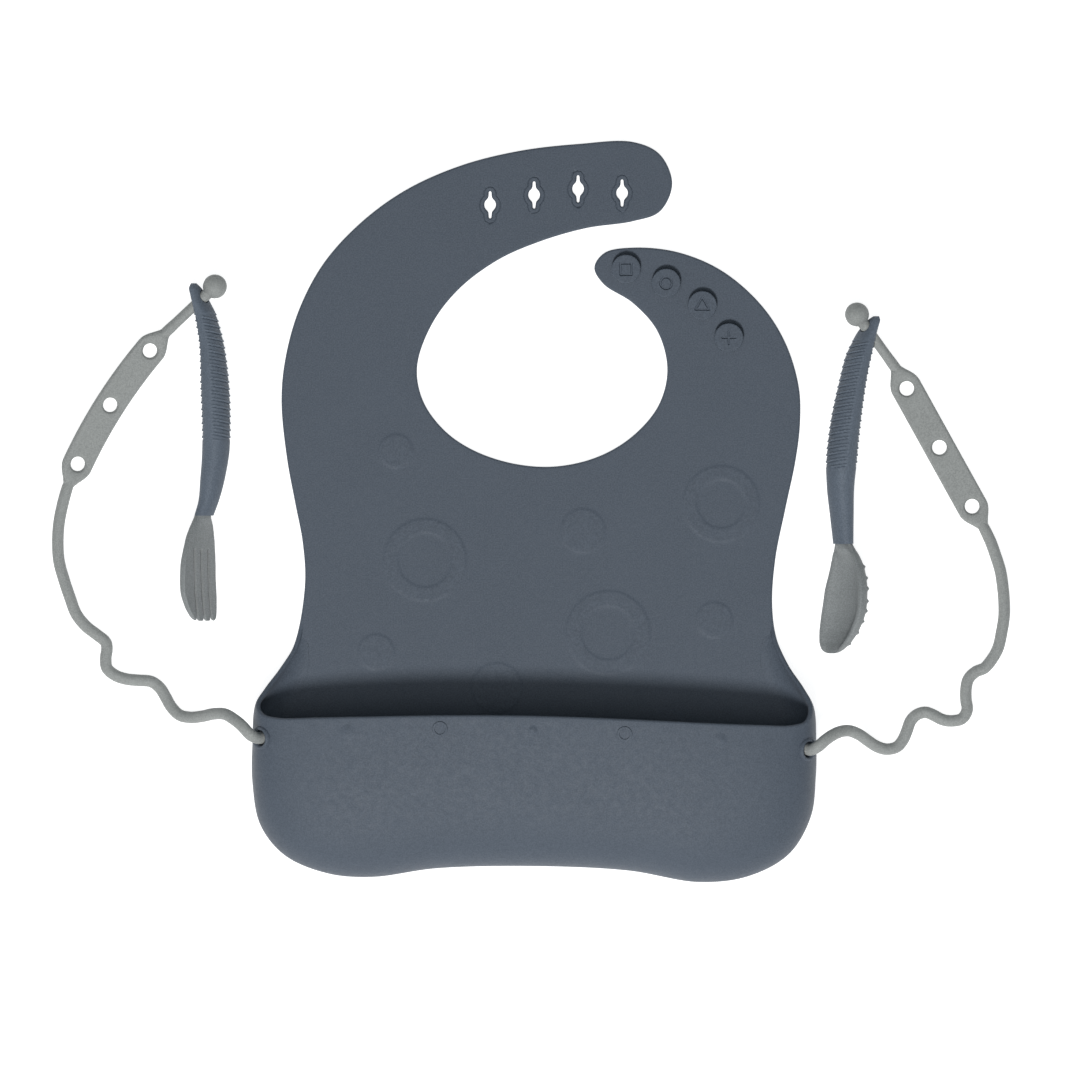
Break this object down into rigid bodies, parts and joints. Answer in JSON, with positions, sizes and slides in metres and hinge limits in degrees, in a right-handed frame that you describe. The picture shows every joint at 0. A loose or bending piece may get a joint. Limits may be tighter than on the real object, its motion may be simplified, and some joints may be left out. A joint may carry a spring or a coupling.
{
  "type": "silicone bib",
  "caption": "Soft silicone baby bib with a scoop pocket, a button and keyhole neck closure, and stretchy side tethers that hold a fork and a spoon.",
  "frame": {"origin": "middle of the bib's length and width, on the flat back of the panel", "axes": "+Y from the pocket to the neck, +X to the right as the bib is seen from its front, +Z out of the front"},
  "size_m": [0.3897, 0.3016, 0.033],
  "materials": {
    "slate_silicone": "matte moulded silicone",
    "grey_silicone": "matte moulded silicone",
    "handle_silicone": "matte moulded silicone",
    "head_silicone": "satin moulded silicone"
  },
  "bodies": {
    "bib": {"bib_panel": "slate_silicone", "pocket": "slate_silicone", "eyelet_left": "slate_silicone", "eyelet_right": "slate_silicone", "tether_left_knob": "grey_silicone", "tether_right_knob": "grey_silicone"},
    "keyhole_strap": {"keyhole_strap": "slate_silicone"},
    "button_strap": {"button_strap": "slate_silicone", "button_1": "slate_silicone", "button_2": "slate_silicone", "button_3": "slate_silicone", "button_4": "slate_silicone"},
    "tether_left": {"tether_left_cord": "grey_silicone"},
    "tether_left_end": {"tether_left_adjuster": "grey_silicone", "tether_left_ball": "grey_silicone"},
    "fork": {"fork_handle": "handle_silicone", "fork_head": "head_silicone"},
    "tether_right": {"tether_right_cord": "grey_silicone"},
    "tether_right_end": {"tether_right_adjuster": "grey_silicone", "tether_right_ball": "grey_silicone"},
    "spoon": {"spoon_handle": "handle_silicone", "spoon_head": "head_silicone"}
  },
  "joints": [
    {"name": "keyhole_strap_fold", "type": "hinge", "parent": "bib", "child": "keyhole_strap", "pos_m": [-0.0725, 0.07915, 0.0022], "axis": [0.9659, -0.2588, 0], "range_deg": [0, 80], "stiffness_Nm_per_rad": 0.03},
    {"name": "button_strap_fold", "type": "hinge", "parent": "bib", "child": "button_strap", "pos_m": [0.08, 0.05, 0.0022], "axis": [1, 0, 0], "range_deg": [0, 80], "stiffness_Nm_per_rad": 0.03},
    {"name": "tether_left_swing", "type": "hinge", "parent": "bib", "child": "tether_left", "pos_m": [-0.11125, -0.09163, 0.0224], "axis": [0, 0, 1], "range_deg": [-4, 45]},
    {"name": "tether_left_stretch", "type": "slide", "parent": "tether_left", "child": "tether_left_end", "axis": [-0.8486, 0.529, 0], "range_m": [0, 0.03], "stiffness_N_per_m": 80},
    {"name": "fork_spin", "type": "hinge", "parent": "tether_left_end", "child": "fork", "pos_m": [-0.13562, 0.08647, 0.00525], "axis": [0.7282, 0.6784, 0.0974], "continuous": true},
    {"name": "tether_right_swing", "type": "hinge", "parent": "bib", "child": "tether_right", "pos_m": [0.11106, -0.09633, 0.02179], "axis": [0, 0, -1], "range_deg": [-4, 45]},
    {"name": "tether_right_stretch", "type": "slide", "parent": "tether_right", "child": "tether_right_end", "axis": [0.88, 0.475, 0], "range_m": [0, 0.03], "stiffness_N_per_m": 80},
    {"name": "spoon_spin", "type": "hinge", "parent": "tether_right_end", "child": "spoon", "pos_m": [0.13571, 0.07393, 0.005], "axis": [-0.5816, 0.8036, 0.1263], "continuous": true}
  ]
}
